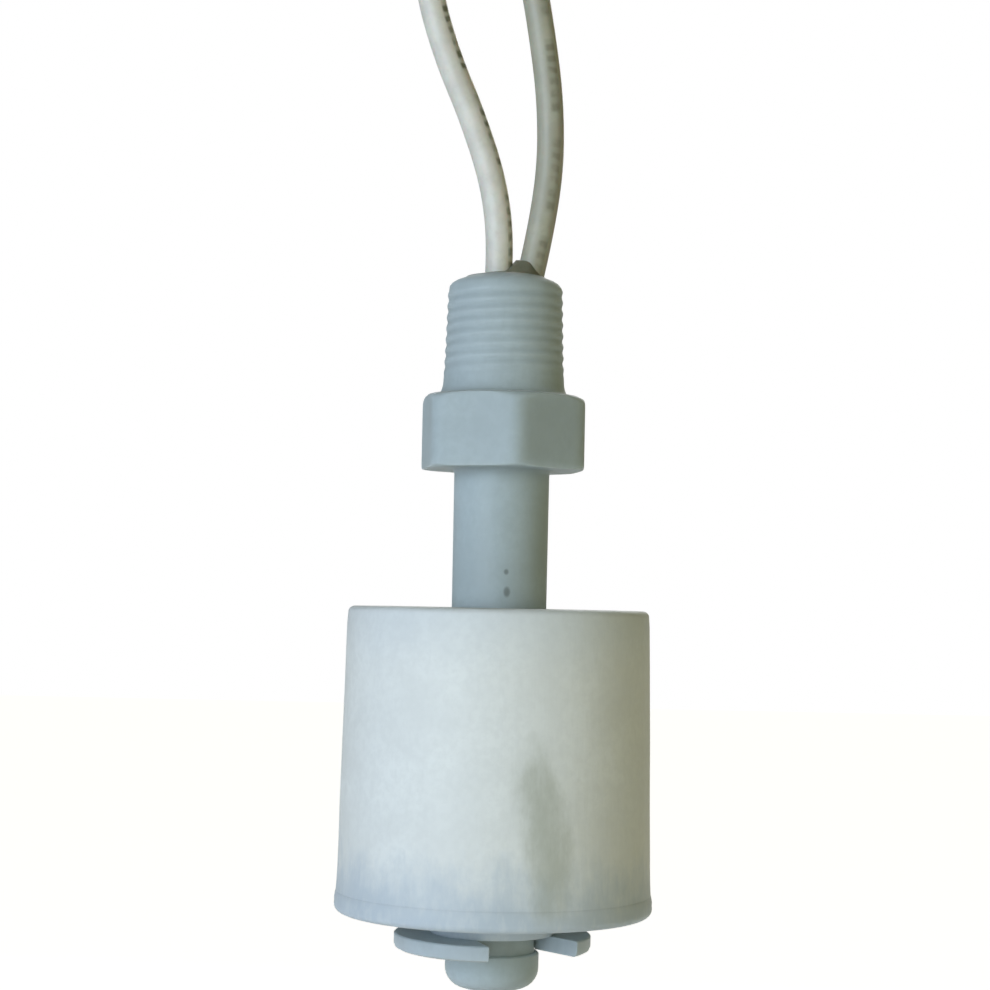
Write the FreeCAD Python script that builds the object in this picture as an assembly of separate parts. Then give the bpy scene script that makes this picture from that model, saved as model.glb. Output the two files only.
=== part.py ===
import FreeCAD, Part
import math
import os

from FreeCAD import Vector

# Vertical float level switch moulded in polypropylene, in millimetres and degrees.
# The frame is that of its pipe thread: origin on the axis where the thread meets
# the hexagon, +Z up towards the leads, -Y to the front.

# Threaded stem: one moulding with a tapered pipe thread, a hexagon and a closed tube
THREAD_D = 10.0                 # 1/8-27 pipe thread over its crests
NIPPLE_LENGTH = 9.6
NIPPLE_EDGE_ROUND = 1.1
NIPPLE_BORE_D = 6.5
NIPPLE_BORE_BELOW_THREAD = 2.0  # depth to which the wide bore enters the hexagon
HEX_FLATS = 12.7
HEX_HEIGHT = 6.6
HEX_TURN = 39.3                 # direction of one corner
HEX_EDGE_DROP = 0.55            # height lost at each corner to the turned chamfer
HEX_CORNER_ROUND = 0.8
STEM_D = 8.0
STEM_BORE_D = 5.2
STEM_END_WALL = 2.5
STEM_END_ROUND = 1.2
STEM_COVE = 0.45                # hollow round between the hexagon and the stem
STEM_BELOW_GROOVE = 3.0
GATE_MARK_D = 0.8
GATE_MARK_HEIGHT = 0.35

# Retaining clip: an open ring snapped into a groove of the stem
GROOVE_DEPTH = 0.8
CLIP_D = 16.4
CLIP_THICKNESS = 1.5
CLIP_GROOVE_FIT = 0.05
CLIP_END_PLAY = 0.1
CLIP_SLOT_DIRECTION = -62.0
CLIP_THROAT_PINCH = 1.0         # how much narrower the throat is than the groove
CLIP_MOUTH = 7.9
CLIP_TIP_ROUND = 0.6

# Float: drafted shell with a bore tube, closed by a welded cap
FLOAT_HEIGHT = 25.3
FLOAT_TOP_D = 25.1
FLOAT_SEAM_D = 26.1
FLOAT_EDGE_ROUND = 1.0
FLOAT_WALL = 1.2
FLOAT_CLEARANCE = 0.5           # radial, between the stem and the float's bore
FLOAT_TRAVEL = 11.5
FLOAT_STOP_GAP = 0.2            # what is left under the hexagon at the top of the travel
BORE_TUBE_WALL = 1.0
SHOULDER_STEP = 1.1             # radial step that holds the magnet down
CAP_RIM_FLARE = 0.2             # radial, past the shell's wall
CAP_FLARE_HEIGHT = 0.9
CAP_THICKNESS = 1.7
CAP_RIM_ROUND = 0.5
CAP_RING_HEIGHT = 3.0
CAP_RING_WALL = 1.1
CAP_RING_FIT = 0.1
CAP_RIB_COUNT = 6
CAP_RIB_HEIGHT = 2.0
CAP_RIB_THICKNESS = 1.0
BOSS_D = 12.0
BOSS_HEIGHT = 1.7

# Ring magnet, loose round the float's bore tube
MAGNET_D = 19.0
MAGNET_HEIGHT = 5.0
MAGNET_SUPPORT_HEIGHT = 5.9
MAGNET_SUPPORT_WALL = 1.5
MAGNET_FIT = 0.1                # radial
MAGNET_END_PLAY = 0.15
MAGNET_CHAMFER = 0.4

# Reed switch
GLASS_D = 2.1
GLASS_LENGTH = 14.0
GLASS_WALL = 0.2
GLASS_SEAL = 1.8
GLASS_END_ROUND = 0.7
REED_LEAD_D = 0.6
BLADE_WIDTH = 1.1
BLADE_THICKNESS = 0.25
BLADE_OVERLAP = 1.2
CONTACT_GAP = 0.12
BLADE_ROOT = 0.6                # round lead that shows inside the glass
RETURN_DROP = 2.2               # straight lead below the glass before it turns back
RETURN_SLEEVE_WALL = 0.2
RETURN_SLEEVE_MARGIN = 1.5      # bare lead left above the sleeve

# Leads: 22 AWG hook-up wire
LEAD_D = 2.3
CONDUCTOR_D = 0.76
STRIP_INSIDE = 2.4
TIP_LENGTH = 6.5
SOLDER_D = 1.3
SOLDER_LENGTH = 3.4
SOLDER_BELOW_INSULATION = 0.6
SHRINK_WALL = 0.2
SHRINK_FIT = 0.02               # radial, between a shrunk sleeve and what it holds
SHRINK_OVER_INSULATION = 1.5
SHRINK_BELOW_SOLDER = 0.4
POTTING_DOME = 0.4
LEFT_ROUTE = [(-1.15, 0.0, -6.0), (-1.15, 0.0, 2.2), (-0.44, -0.1, 11.2), (-0.85, -0.5, 17.0),
              (-2.75, -1.0, 23.0), (-5.1, -1.6, 28.2), (-6.75, -2.2, 34.0), (-7.4, -2.8, 41.5),
              (-8.9, -3.4, 49.5)]
RIGHT_ROUTE = [(1.4, 0.0, -1.0), (1.4, 0.0, 6.6), (2.83, 0.3, 13.4), (3.62, 0.6, 19.2),
               (3.5, 0.7, 24.8), (2.75, 0.6, 30.2), (1.6, 0.2, 36.3), (-2.0, -0.4, 43.2),
               (-5.6, -0.9, 49.0)]

# Coil of the length that is put away: two flat layers of turns, in and out again
COIL_CENTRE_X = 7.0
COIL_CENTRE_Z = 60.0
COIL_MID_RADIUS = 14.0
COIL_PITCH = 2.4                # from one wire to the next, in and across the layers
COIL_TURNS_IN = 2.9
COIL_TURNS_ACROSS = 0.5
COIL_TURNS_OUT = 2.9
LEFT_ENTRY_ANGLE = 190.0
RIGHT_ENTRY_ANGLE = 205.0
LEFT_TAIL = 14.0
RIGHT_TAIL = 14.0
COIL_EDGE_ROUND = 1.1
TIE_THICKNESS = 1.0
TIE_WIDTH = 2.5
TIE_FIT = 0.1
TIE_HEAD = 4.2
TIE_HEAD_DEPTH = 3.2
TIE_TAIL = 3.5

# Levels down the stem
HEX_UNDERSIDE = -HEX_HEIGHT
FLOAT_TOP = HEX_UNDERSIDE - FLOAT_STOP_GAP - FLOAT_TRAVEL
FLOAT_BASE = FLOAT_TOP - FLOAT_HEIGHT
FLOAT_SEAM = FLOAT_BASE + CAP_THICKNESS
CLIP_TOP = FLOAT_BASE - BOSS_HEIGHT
CLIP_BOTTOM = CLIP_TOP - CLIP_THICKNESS
STEM_END = CLIP_BOTTOM - STEM_BELOW_GROOVE
BORE_END = STEM_END + STEM_END_WALL
MAGNET_SEAT = FLOAT_SEAM + MAGNET_SUPPORT_HEIGHT
MAGNET_TOP = MAGNET_SEAT + MAGNET_HEIGHT
REED_CENTRE = MAGNET_SEAT + MAGNET_HEIGHT / 2 + FLOAT_TRAVEL
GLASS_TOP = REED_CENTRE + GLASS_LENGTH / 2
GLASS_BOTTOM = REED_CENTRE - GLASS_LENGTH / 2

# Radii that follow
GROOVE_R = STEM_D / 2 - GROOVE_DEPTH
FLOAT_BORE_R = STEM_D / 2 + FLOAT_CLEARANCE
FLOAT_SEAM_R = FLOAT_SEAM_D / 2
CAP_RIM_R = FLOAT_SEAM_R + CAP_RIM_FLARE
BORE_TUBE_R = FLOAT_BORE_R + BORE_TUBE_WALL
MAGNET_BORE_R = BORE_TUBE_R + MAGNET_FIT
COIL_OUTER_TURN_R = COIL_MID_RADIUS + COIL_PITCH * COIL_TURNS_IN / 2
COIL_INNER_TURN_R = COIL_MID_RADIUS - COIL_PITCH * COIL_TURNS_IN / 2

# The reed hangs from the right lead, and its return runs up to the left one; a
# route's first point is the end of that lead's insulation
REED_X = RIGHT_ROUTE[0][0]
RETURN_X = LEFT_ROUTE[0][0]


def cylinder(diameter, low, high, x=0.0, y=0.0):
    """Upright cylinder between two heights."""
    return Part.makeCylinder(diameter / 2, high - low, Vector(x, y, low))


def turned(section, x=0.0, y=0.0):
    """Solid of revolution about an upright axis from a list of (radius, height) points."""
    corners = [Vector(x + radius, y, height) for radius, height in section]
    face = Part.Face(Part.makePolygon(corners + corners[:1]))
    return face.revolve(Vector(x, y, 0), Vector(0, 0, 1), 360)


def rounded(shape, radius, rims):
    """Fillet the circular edges given as (diameter, height) pairs."""
    def is_rim(edge):
        curve = edge.Curve
        return isinstance(curve, Part.Circle) and any(
            abs(2 * curve.Radius - diameter) < 1e-3 and abs(curve.Center.z - height) < 1e-3
            for diameter, height in rims)
    return shape.makeFillet(radius, [edge for edge in shape.Edges if is_rim(edge)])


def smooth_route(points):
    """Wire of straight runs joined by tangent arcs, each as large as its two runs allow."""
    corners = [Vector(*point) for point in points]
    edges = []
    radii = []
    start = corners[0]
    for before, corner, after in zip(corners, corners[1:], corners[2:]):
        back = before - corner
        ahead = after - corner
        trim = 0.45 * min(back.Length, ahead.Length)
        half_turn = (math.pi - back.getAngle(ahead)) / 2
        radius = trim / math.tan(half_turn)
        back.normalize()
        ahead.normalize()
        inward = (back + ahead).normalize()
        middle = corner + inward * (radius / math.cos(half_turn) - radius)
        edges.append(Part.LineSegment(start, corner + back * trim).toShape())
        edges.append(Part.Arc(corner + back * trim, middle, corner + ahead * trim).toShape())
        radii.append(radius)
        start = corner + ahead * trim
    edges.append(Part.LineSegment(start, corners[-1]).toShape())
    return Part.Wire(edges), radii


def round_bar(path, diameter):
    """Round bar that follows a wire."""
    first = path.Edges[0]
    heading = first.tangentAt(first.FirstParameter)
    circle = Part.makeCircle(diameter / 2, first.valueAt(first.FirstParameter), heading)
    return path.makePipeShell([Part.Wire(circle)], True, False)


def stem_bore():
    """Space inside the stem: a wide mouth in the nipple and a narrow blind bore below."""
    mouth = cylinder(NIPPLE_BORE_D, -NIPPLE_BORE_BELOW_THREAD, NIPPLE_LENGTH)
    return mouth.fuse(cylinder(STEM_BORE_D, BORE_END, -NIPPLE_BORE_BELOW_THREAD)).removeSplitter()


def hexagon():
    """Hexagon whose corners are turned down at both faces."""
    corner_r = HEX_FLATS / 2 / math.cos(math.radians(30))
    corners = [Vector(corner_r * math.cos(math.radians(HEX_TURN + 60 * side)),
                      corner_r * math.sin(math.radians(HEX_TURN + 60 * side)), HEX_UNDERSIDE)
               for side in range(7)]
    prism = Part.Face(Part.makePolygon(corners)).extrude(Vector(0, 0, HEX_HEIGHT))
    uprights = [edge for edge in prism.Edges if abs(edge.Length - HEX_HEIGHT) < 1e-6]
    prism = prism.makeFillet(HEX_CORNER_ROUND, uprights)
    face_r = HEX_FLATS / 2
    blank = turned([(0, HEX_UNDERSIDE), (face_r, HEX_UNDERSIDE),
                    (corner_r, HEX_UNDERSIDE + HEX_EDGE_DROP), (corner_r, -HEX_EDGE_DROP),
                    (face_r, 0), (0, 0)])
    return prism.common(blank)


def stem_body():
    """Nipple, hexagon and closed stem with its clip groove, bored for the reed switch."""
    nipple = cylinder(THREAD_D, 0, NIPPLE_LENGTH)
    nipple = rounded(nipple, NIPPLE_EDGE_ROUND, [(THREAD_D, NIPPLE_LENGTH)])
    stem = cylinder(STEM_D, STEM_END, HEX_UNDERSIDE)
    stem = rounded(stem, STEM_END_ROUND, [(STEM_D, STEM_END)])
    groove_top = CLIP_TOP + CLIP_END_PLAY
    groove = cylinder(STEM_D + 1, CLIP_BOTTOM, groove_top)
    groove = groove.cut(cylinder(2 * GROOVE_R, CLIP_BOTTOM, groove_top))
    gate_mark = cylinder(GATE_MARK_D, STEM_END - GATE_MARK_HEIGHT, BORE_END - STEM_END_WALL / 2)
    body = stem.cut(groove).fuse([hexagon(), nipple, gate_mark]).removeSplitter()
    body = rounded(body, STEM_COVE, [(STEM_D, HEX_UNDERSIDE)])
    return body.cut(stem_bore()).removeSplitter()


def retaining_clip():
    """Open ring with a flared slot, snapped into the groove."""
    outer_r = CLIP_D / 2
    inner_r = GROOVE_R + CLIP_GROOVE_FIT
    half_throat = GROOVE_R - CLIP_THROAT_PINCH / 2
    throat_at = math.sqrt(inner_r ** 2 - half_throat ** 2)
    mouth_at = math.sqrt(outer_r ** 2 - (CLIP_MOUTH / 2) ** 2)
    flare = (CLIP_MOUTH / 2 - half_throat) / (mouth_at - throat_at)
    beyond = outer_r + 1
    half_beyond = half_throat + flare * (beyond - throat_at)
    outline = [(0, -half_throat), (throat_at, -half_throat), (beyond, -half_beyond),
               (beyond, half_beyond), (throat_at, half_throat), (0, half_throat)]
    corners = [Vector(along, across, CLIP_BOTTOM) for along, across in outline]
    slot = Part.Face(Part.makePolygon(corners + corners[:1])).extrude(Vector(0, 0, CLIP_THICKNESS))
    ring = cylinder(CLIP_D, CLIP_BOTTOM, CLIP_TOP).cut(cylinder(2 * inner_r, CLIP_BOTTOM, CLIP_TOP))
    clip = ring.cut(slot)
    tips = [edge for edge in clip.Edges
            if all(abs(math.hypot(v.X, v.Y) - outer_r) < 1e-3 for v in edge.Vertexes)
            and abs(edge.Length - CLIP_THICKNESS) < 1e-6]
    clip = clip.makeFillet(CLIP_TIP_ROUND, tips)
    clip.rotate(Vector(0, 0, 0), Vector(0, 0, 1), CLIP_SLOT_DIRECTION)
    return clip


def draft_slope():
    """Radius that the float's wall gains for each millimetre down."""
    return (FLOAT_SEAM_R - FLOAT_TOP_D / 2) / (FLOAT_TOP - FLOAT_SEAM)


def float_shell():
    """Drafted cup with a bore tube down its middle and a shoulder over the magnet."""
    top_r = FLOAT_TOP_D / 2
    wall_r = FLOAT_SEAM_R - FLOAT_WALL
    ceiling = FLOAT_TOP - FLOAT_WALL
    shoulder_r = BORE_TUBE_R + SHOULDER_STEP
    shoulder = MAGNET_TOP + MAGNET_END_PLAY
    shell = turned([(FLOAT_BORE_R, FLOAT_SEAM), (FLOAT_BORE_R, FLOAT_TOP), (top_r, FLOAT_TOP),
                    (FLOAT_SEAM_R, FLOAT_SEAM), (wall_r, FLOAT_SEAM), (top_r - FLOAT_WALL, ceiling),
                    (shoulder_r, ceiling), (shoulder_r, shoulder), (BORE_TUBE_R, shoulder),
                    (BORE_TUBE_R, FLOAT_SEAM)])
    return rounded(shell, FLOAT_EDGE_ROUND, [(FLOAT_TOP_D, FLOAT_TOP)])


def float_cap():
    """Welded cap: flared rim, boss below, locating ring and ribbed magnet support above."""
    boss_r = BOSS_D / 2
    ring_r = FLOAT_SEAM_R - FLOAT_WALL - CAP_RING_FIT - CAP_RING_HEIGHT * draft_slope()
    ring_top = FLOAT_SEAM + CAP_RING_HEIGHT
    support_r = MAGNET_BORE_R + MAGNET_SUPPORT_WALL
    cap = turned([(FLOAT_BORE_R, CLIP_TOP), (boss_r, CLIP_TOP), (boss_r, FLOAT_BASE),
                  (CAP_RIM_R, FLOAT_BASE), (CAP_RIM_R, FLOAT_SEAM - CAP_FLARE_HEIGHT),
                  (FLOAT_SEAM_R, FLOAT_SEAM), (ring_r, FLOAT_SEAM), (ring_r, ring_top),
                  (ring_r - CAP_RING_WALL, ring_top), (ring_r - CAP_RING_WALL, FLOAT_SEAM),
                  (support_r, FLOAT_SEAM), (support_r, MAGNET_SEAT), (MAGNET_BORE_R, MAGNET_SEAT),
                  (MAGNET_BORE_R, FLOAT_SEAM), (FLOAT_BORE_R, FLOAT_SEAM)])
    cap = rounded(cap, CAP_RIM_ROUND, [(2 * CAP_RIM_R, FLOAT_BASE)])
    rib_start = support_r - MAGNET_SUPPORT_WALL / 2
    rib_end = ring_r - CAP_RING_WALL / 2
    ribs = []
    for index in range(CAP_RIB_COUNT):
        rib = Part.makeBox(rib_end - rib_start, CAP_RIB_THICKNESS, CAP_RIB_HEIGHT,
                           Vector(rib_start, -CAP_RIB_THICKNESS / 2, FLOAT_SEAM))
        rib.rotate(Vector(0, 0, 0), Vector(0, 0, 1), index * 360 / CAP_RIB_COUNT)
        ribs.append(rib)
    return cap.fuse(ribs).removeSplitter()


def float_magnet():
    """Ring magnet that stands on the cap's support."""
    ring = turned([(MAGNET_BORE_R, MAGNET_SEAT), (MAGNET_D / 2, MAGNET_SEAT),
                   (MAGNET_D / 2, MAGNET_TOP), (MAGNET_BORE_R, MAGNET_TOP)])
    rims = [edge for edge in ring.Edges
            if isinstance(edge.Curve, Part.Circle) and abs(edge.Curve.Radius - MAGNET_D / 2) < 1e-3]
    return ring.makeChamfer(MAGNET_CHAMFER, rims)


def blade(tip, root, side):
    """Flat contact blade from its root in the seal to its tip past the middle of the glass."""
    low, high = sorted((tip, root))
    middle = side * (CONTACT_GAP + BLADE_THICKNESS) / 2
    return Part.makeBox(BLADE_WIDTH, BLADE_THICKNESS, high - low,
                        Vector(REED_X - BLADE_WIDTH / 2, middle - BLADE_THICKNESS / 2, low))


def splice_middle(route):
    """Height at which a conductor meets the reed's lead inside the solder."""
    return route[0][2] - STRIP_INSIDE


def reed_blade_upper():
    """Upper blade with the straight lead that rises to the right splice."""
    root = GLASS_TOP - GLASS_SEAL
    lead = cylinder(REED_LEAD_D, root - BLADE_ROOT, splice_middle(RIGHT_ROUTE), REED_X)
    return lead.fuse(blade(REED_CENTRE - BLADE_OVERLAP / 2, root, 1)).removeSplitter()


def reed_blade_lower():
    """Lower blade whose lead turns back up beside the glass to the left splice."""
    root = GLASS_BOTTOM + GLASS_SEAL
    turn_at = GLASS_BOTTOM - RETURN_DROP
    turn_r = (REED_X - RETURN_X) / 2
    down = Part.LineSegment(Vector(REED_X, 0, root + BLADE_ROOT), Vector(REED_X, 0, turn_at))
    turn = Part.Arc(Vector(REED_X, 0, turn_at), Vector(REED_X - turn_r, 0, turn_at - turn_r),
                    Vector(RETURN_X, 0, turn_at))
    up = Part.LineSegment(Vector(RETURN_X, 0, turn_at), Vector(RETURN_X, 0, splice_middle(LEFT_ROUTE)))
    lead = round_bar(Part.Wire([down.toShape(), turn.toShape(), up.toShape()]), REED_LEAD_D)
    return lead.fuse(blade(REED_CENTRE + BLADE_OVERLAP / 2, root, -1)).removeSplitter()


def glass_outline():
    """Outside of the reed's glass."""
    tube = cylinder(GLASS_D, GLASS_BOTTOM, GLASS_TOP, REED_X)
    return rounded(tube, GLASS_END_ROUND, [(GLASS_D, GLASS_BOTTOM), (GLASS_D, GLASS_TOP)])


def reed_glass(leads):
    """Sealed glass tube, closed on the leads at both ends."""
    inside = cylinder(GLASS_D - 2 * GLASS_WALL, GLASS_BOTTOM + GLASS_SEAL, GLASS_TOP - GLASS_SEAL, REED_X)
    return glass_outline().cut(inside).cut(leads)


def return_sleeve():
    """Insulating sleeve on the lead that runs back up beside the glass."""
    low = GLASS_BOTTOM - RETURN_DROP
    high = splice_bottom(LEFT_ROUTE) - SHRINK_BELOW_SOLDER - RETURN_SLEEVE_MARGIN
    outer = cylinder(REED_LEAD_D + 2 * RETURN_SLEEVE_WALL, low, high, RETURN_X)
    return outer.cut(cylinder(REED_LEAD_D, low, high, RETURN_X))


def splice_top(route):
    """Upper end of the solder on a lead's splice."""
    return route[0][2] - SOLDER_BELOW_INSULATION


def splice_bottom(route):
    """Lower end of the solder on a lead's splice."""
    return splice_top(route) - SOLDER_LENGTH


def inner_conductor(route):
    """Stripped conductor from the end of the insulation into the solder."""
    x, y, height = route[0]
    return cylinder(CONDUCTOR_D, splice_middle(route), height, x, y)


def solder_joint(route, wires):
    """Solder round the conductor and the reed's lead."""
    x, y, _ = route[0]
    return cylinder(SOLDER_D, splice_bottom(route), splice_top(route), x, y).cut(wires)


def splice_outline(route, wall):
    """Stepped outline of a splice: wide round the insulation and narrow round the solder."""
    x, y, height = route[0]
    wide_r = LEAD_D / 2 + SHRINK_FIT + wall
    narrow_r = SOLDER_D / 2 + SHRINK_FIT + wall
    top = height + SHRINK_OVER_INSULATION
    bottom = splice_bottom(route) - SHRINK_BELOW_SOLDER
    step = height - SHRINK_FIT - wall
    return turned([(0, bottom), (narrow_r, bottom), (narrow_r, step),
                   (wide_r, step), (wide_r, top), (0, top)], x, y)


def splice_sleeve(route):
    """Heat-shrink sleeve over the end of the insulation and the solder."""
    return splice_outline(route, SHRINK_WALL).cut(splice_outline(route, 0))


def potting(pieces):
    """Epoxy that fills the bore round everything in it and stands in a low dome at the top."""
    top = NIPPLE_LENGTH + POTTING_DOME
    mouth_r = NIPPLE_BORE_D / 2
    dome_r = (mouth_r ** 2 + POTTING_DOME ** 2) / (2 * POTTING_DOME)
    dome = Part.makeSphere(dome_r, Vector(0, 0, top - dome_r))
    dome = dome.common(cylinder(NIPPLE_BORE_D, NIPPLE_LENGTH, top))
    filling = stem_bore().fuse(dome).removeSplitter()
    for piece in pieces:
        filling = filling.cut(piece)
    return filling


def coil_point(angle, radius, depth):
    """Point on the coil: angle turns from +X towards +Z about the coil's own axis."""
    return Vector(COIL_CENTRE_X + radius * math.cos(math.radians(angle)), depth,
                  COIL_CENTRE_Z + radius * math.sin(math.radians(angle)))


def wire_depth(layer, lead):
    """Distance to the back of a lead (0 left, 1 right) in the front or back layer (0, 1)."""
    return (2 * layer + lead - 1.5) * COIL_PITCH


def exit_angle(entry_angle):
    """Angle at which a lead leaves the coil, after all its turns."""
    return entry_angle - 360 * (COIL_TURNS_IN + COIL_TURNS_ACROSS + COIL_TURNS_OUT)


def tail(entry_angle, lead, start, length, diameter):
    """Straight piece of a lead's free end, measured from where it leaves the coil."""
    angle = exit_angle(entry_angle)
    place = coil_point(angle, COIL_OUTER_TURN_R, wire_depth(1, lead))
    heading = Vector(math.sin(math.radians(angle)), 0, -math.cos(math.radians(angle)))
    return Part.makeCylinder(diameter / 2, length, place + heading * start, heading)


def lead_coil():
    """Outer shape of the coiled leads, with their two free ends."""
    inner_r = COIL_INNER_TURN_R - LEAD_D / 2
    outer_r = COIL_OUTER_TURN_R + LEAD_D / 2
    depth = coil_depth()
    centre = Vector(COIL_CENTRE_X, -depth / 2, COIL_CENTRE_Z)
    back = Vector(0, 1, 0)
    ring = Part.makeCylinder(outer_r, depth, centre, back)
    ring = ring.cut(Part.makeCylinder(inner_r, depth, centre, back))
    rims = [edge for edge in ring.Edges if isinstance(edge.Curve, Part.Circle)]
    ring = ring.makeFillet(COIL_EDGE_ROUND, rims)
    tails = [tail(LEFT_ENTRY_ANGLE, 0, 0, LEFT_TAIL, LEAD_D),
             tail(RIGHT_ENTRY_ANGLE, 1, 0, RIGHT_TAIL, LEAD_D)]
    return ring.fuse(tails).removeSplitter()


def coil_depth():
    """Depth of the coil from front to back: two leads in each of two layers."""
    return 3 * COIL_PITCH + LEAD_D


def lead(route, entry_angle, side, coil):
    """Insulated lead from its splice to the coil."""
    entry = coil_point(entry_angle, COIL_OUTER_TURN_R, wire_depth(0, side))
    path, radii = smooth_route(route + [tuple(entry)])
    bar = round_bar(path, LEAD_D)
    expected = path.Length * math.pi * (LEAD_D / 2) ** 2
    print("lead path %.1f mm, volume / expected %.4f, radii" % (path.Length, bar.Volume / expected),
          [round(radius, 1) for radius in radii])
    return bar.cut(coil), path.Length


def coil_tie():
    """Small strap tie drawn round the coil's section, on the coil's right."""
    inner_x = COIL_CENTRE_X + COIL_INNER_TURN_R - LEAD_D / 2 - TIE_FIT
    outer_x = COIL_CENTRE_X + COIL_OUTER_TURN_R + LEAD_D / 2
    half_depth = coil_depth() / 2
    low = COIL_CENTRE_Z - TIE_WIDTH / 2
    window = Part.makeBox(outer_x - inner_x, 2 * half_depth, TIE_WIDTH,
                          Vector(inner_x, -half_depth, low))
    band = Part.makeBox(outer_x - inner_x + 2 * TIE_THICKNESS, 2 * (half_depth + TIE_THICKNESS),
                        TIE_WIDTH, Vector(inner_x - TIE_THICKNESS, -half_depth - TIE_THICKNESS, low))
    corners = [edge for edge in band.Edges if abs(edge.Length - TIE_WIDTH) < 1e-6
               and abs(edge.tangentAt(edge.FirstParameter).z) > 0.99]
    band = band.makeFillet(TIE_THICKNESS, corners).cut(window)
    head_x = outer_x + TIE_THICKNESS / 2
    head = Part.makeBox(TIE_HEAD_DEPTH, TIE_HEAD, TIE_HEAD,
                        Vector(head_x, -TIE_HEAD / 2, COIL_CENTRE_Z - TIE_HEAD / 2))
    end = Part.makeBox(TIE_TAIL, TIE_THICKNESS, TIE_WIDTH,
                       Vector(head_x + TIE_HEAD_DEPTH, -TIE_THICKNESS / 2, low))
    return band.fuse([head, end]).removeSplitter()


def coil_length():
    """Length of one lead in the coil's turns."""
    flat_turns = COIL_TURNS_IN + COIL_TURNS_OUT
    return 2 * math.pi * (COIL_MID_RADIUS * flat_turns + COIL_INNER_TURN_R * COIL_TURNS_ACROSS)


def build():
    """All the pieces, by name."""
    coil = lead_coil()
    left_lead, left_path = lead(LEFT_ROUTE, LEFT_ENTRY_ANGLE, 0, coil)
    right_lead, right_path = lead(RIGHT_ROUTE, RIGHT_ENTRY_ANGLE, 1, coil)
    upper = reed_blade_upper()
    lower = reed_blade_lower()
    glass = reed_glass([upper, lower])
    left_conductor = inner_conductor(LEFT_ROUTE)
    right_conductor = inner_conductor(RIGHT_ROUTE)
    left_solder = solder_joint(LEFT_ROUTE, [left_conductor, lower])
    right_solder = solder_joint(RIGHT_ROUTE, [right_conductor, upper])
    sleeve = return_sleeve()
    potted = [splice_outline(LEFT_ROUTE, SHRINK_WALL), splice_outline(RIGHT_ROUTE, SHRINK_WALL),
              glass_outline(), left_lead, right_lead, upper, lower, sleeve]
    print("left lead %.0f mm, right lead %.0f mm from the splice to the tip" % (
        left_path + coil_length() + LEFT_TAIL + TIP_LENGTH,
        right_path + coil_length() + RIGHT_TAIL + TIP_LENGTH))
    return {
        "stem_body": stem_body(),
        "retaining_clip": retaining_clip(),
        "float_shell": float_shell(),
        "float_cap": float_cap(),
        "float_magnet": float_magnet(),
        "reed_glass": glass,
        "reed_blade_upper": upper,
        "reed_blade_lower": lower,
        "return_sleeve": sleeve,
        "left_conductor": left_conductor,
        "right_conductor": right_conductor,
        "left_solder": left_solder,
        "right_solder": right_solder,
        "left_splice_sleeve": splice_sleeve(LEFT_ROUTE),
        "right_splice_sleeve": splice_sleeve(RIGHT_ROUTE),
        "potting": potting(potted),
        "left_lead": left_lead,
        "right_lead": right_lead,
        "lead_coil": coil,
        "coil_tie": coil_tie(),
        "left_tip": tail(LEFT_ENTRY_ANGLE, 0, LEFT_TAIL, TIP_LENGTH, CONDUCTOR_D),
        "right_tip": tail(RIGHT_ENTRY_ANGLE, 1, RIGHT_TAIL, TIP_LENGTH, CONDUCTOR_D),
    }


os.makedirs("parts", exist_ok=True)
for name, shape in build().items():
    print("%-20s solids %d, volume %8.2f mm3, valid %s" % (
        name, len(shape.Solids), shape.Volume, shape.isValid()))
    shape.exportStep("parts/%s.step" % name)
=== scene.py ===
import math

import bmesh
import bpy
from mathutils import Matrix, Vector, noise


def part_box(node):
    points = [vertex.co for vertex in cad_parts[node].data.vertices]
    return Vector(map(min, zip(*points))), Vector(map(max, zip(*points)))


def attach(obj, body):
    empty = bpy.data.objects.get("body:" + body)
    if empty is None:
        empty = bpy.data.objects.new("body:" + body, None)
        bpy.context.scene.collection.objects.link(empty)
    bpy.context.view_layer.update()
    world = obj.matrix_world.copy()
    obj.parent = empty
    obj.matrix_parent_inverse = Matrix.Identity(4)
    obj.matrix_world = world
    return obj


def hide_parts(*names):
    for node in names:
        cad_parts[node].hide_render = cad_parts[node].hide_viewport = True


bl_info = {
    "name": "Float Level Switch",
    "version": (1, 0, 0),
    "blender": (4, 5, 0),
    "location": "3D Viewport > Sidebar > Level Switch",
    "description": "Dresses the packed model of a vertical float level switch and sets its studio",
    "category": "Add Mesh",
}

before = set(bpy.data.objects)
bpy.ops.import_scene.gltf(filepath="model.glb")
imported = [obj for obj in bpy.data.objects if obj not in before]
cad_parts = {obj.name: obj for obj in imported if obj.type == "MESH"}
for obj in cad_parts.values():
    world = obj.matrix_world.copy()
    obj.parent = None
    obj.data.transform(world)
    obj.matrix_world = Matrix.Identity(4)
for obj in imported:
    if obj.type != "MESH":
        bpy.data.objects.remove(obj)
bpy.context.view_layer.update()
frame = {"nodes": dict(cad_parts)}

MM = 0.001

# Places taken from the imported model, in metres
STEM_LOW, STEM_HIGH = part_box("stem_body")
SHELL_LOW, SHELL_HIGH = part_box("float_shell")
CAP_LOW, CAP_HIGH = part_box("float_cap")
CLIP_LOW, CLIP_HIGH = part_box("retaining_clip")
MAGNET_SEAT, MAGNET_TOP = (corner[2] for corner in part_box("float_magnet"))
NIPPLE_TOP = STEM_HIGH[2]
FLOAT_TOP = SHELL_HIGH[2]
FLOAT_SEAM = SHELL_LOW[2]
CLIP_TOP = CLIP_HIGH[2]
CLIP_BOTTOM = CLIP_LOW[2]
SEAM_RADIUS = (SHELL_HIGH[0] - SHELL_LOW[0]) / 2
STEM_END = CLIP_BOTTOM - 3 * MM

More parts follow.
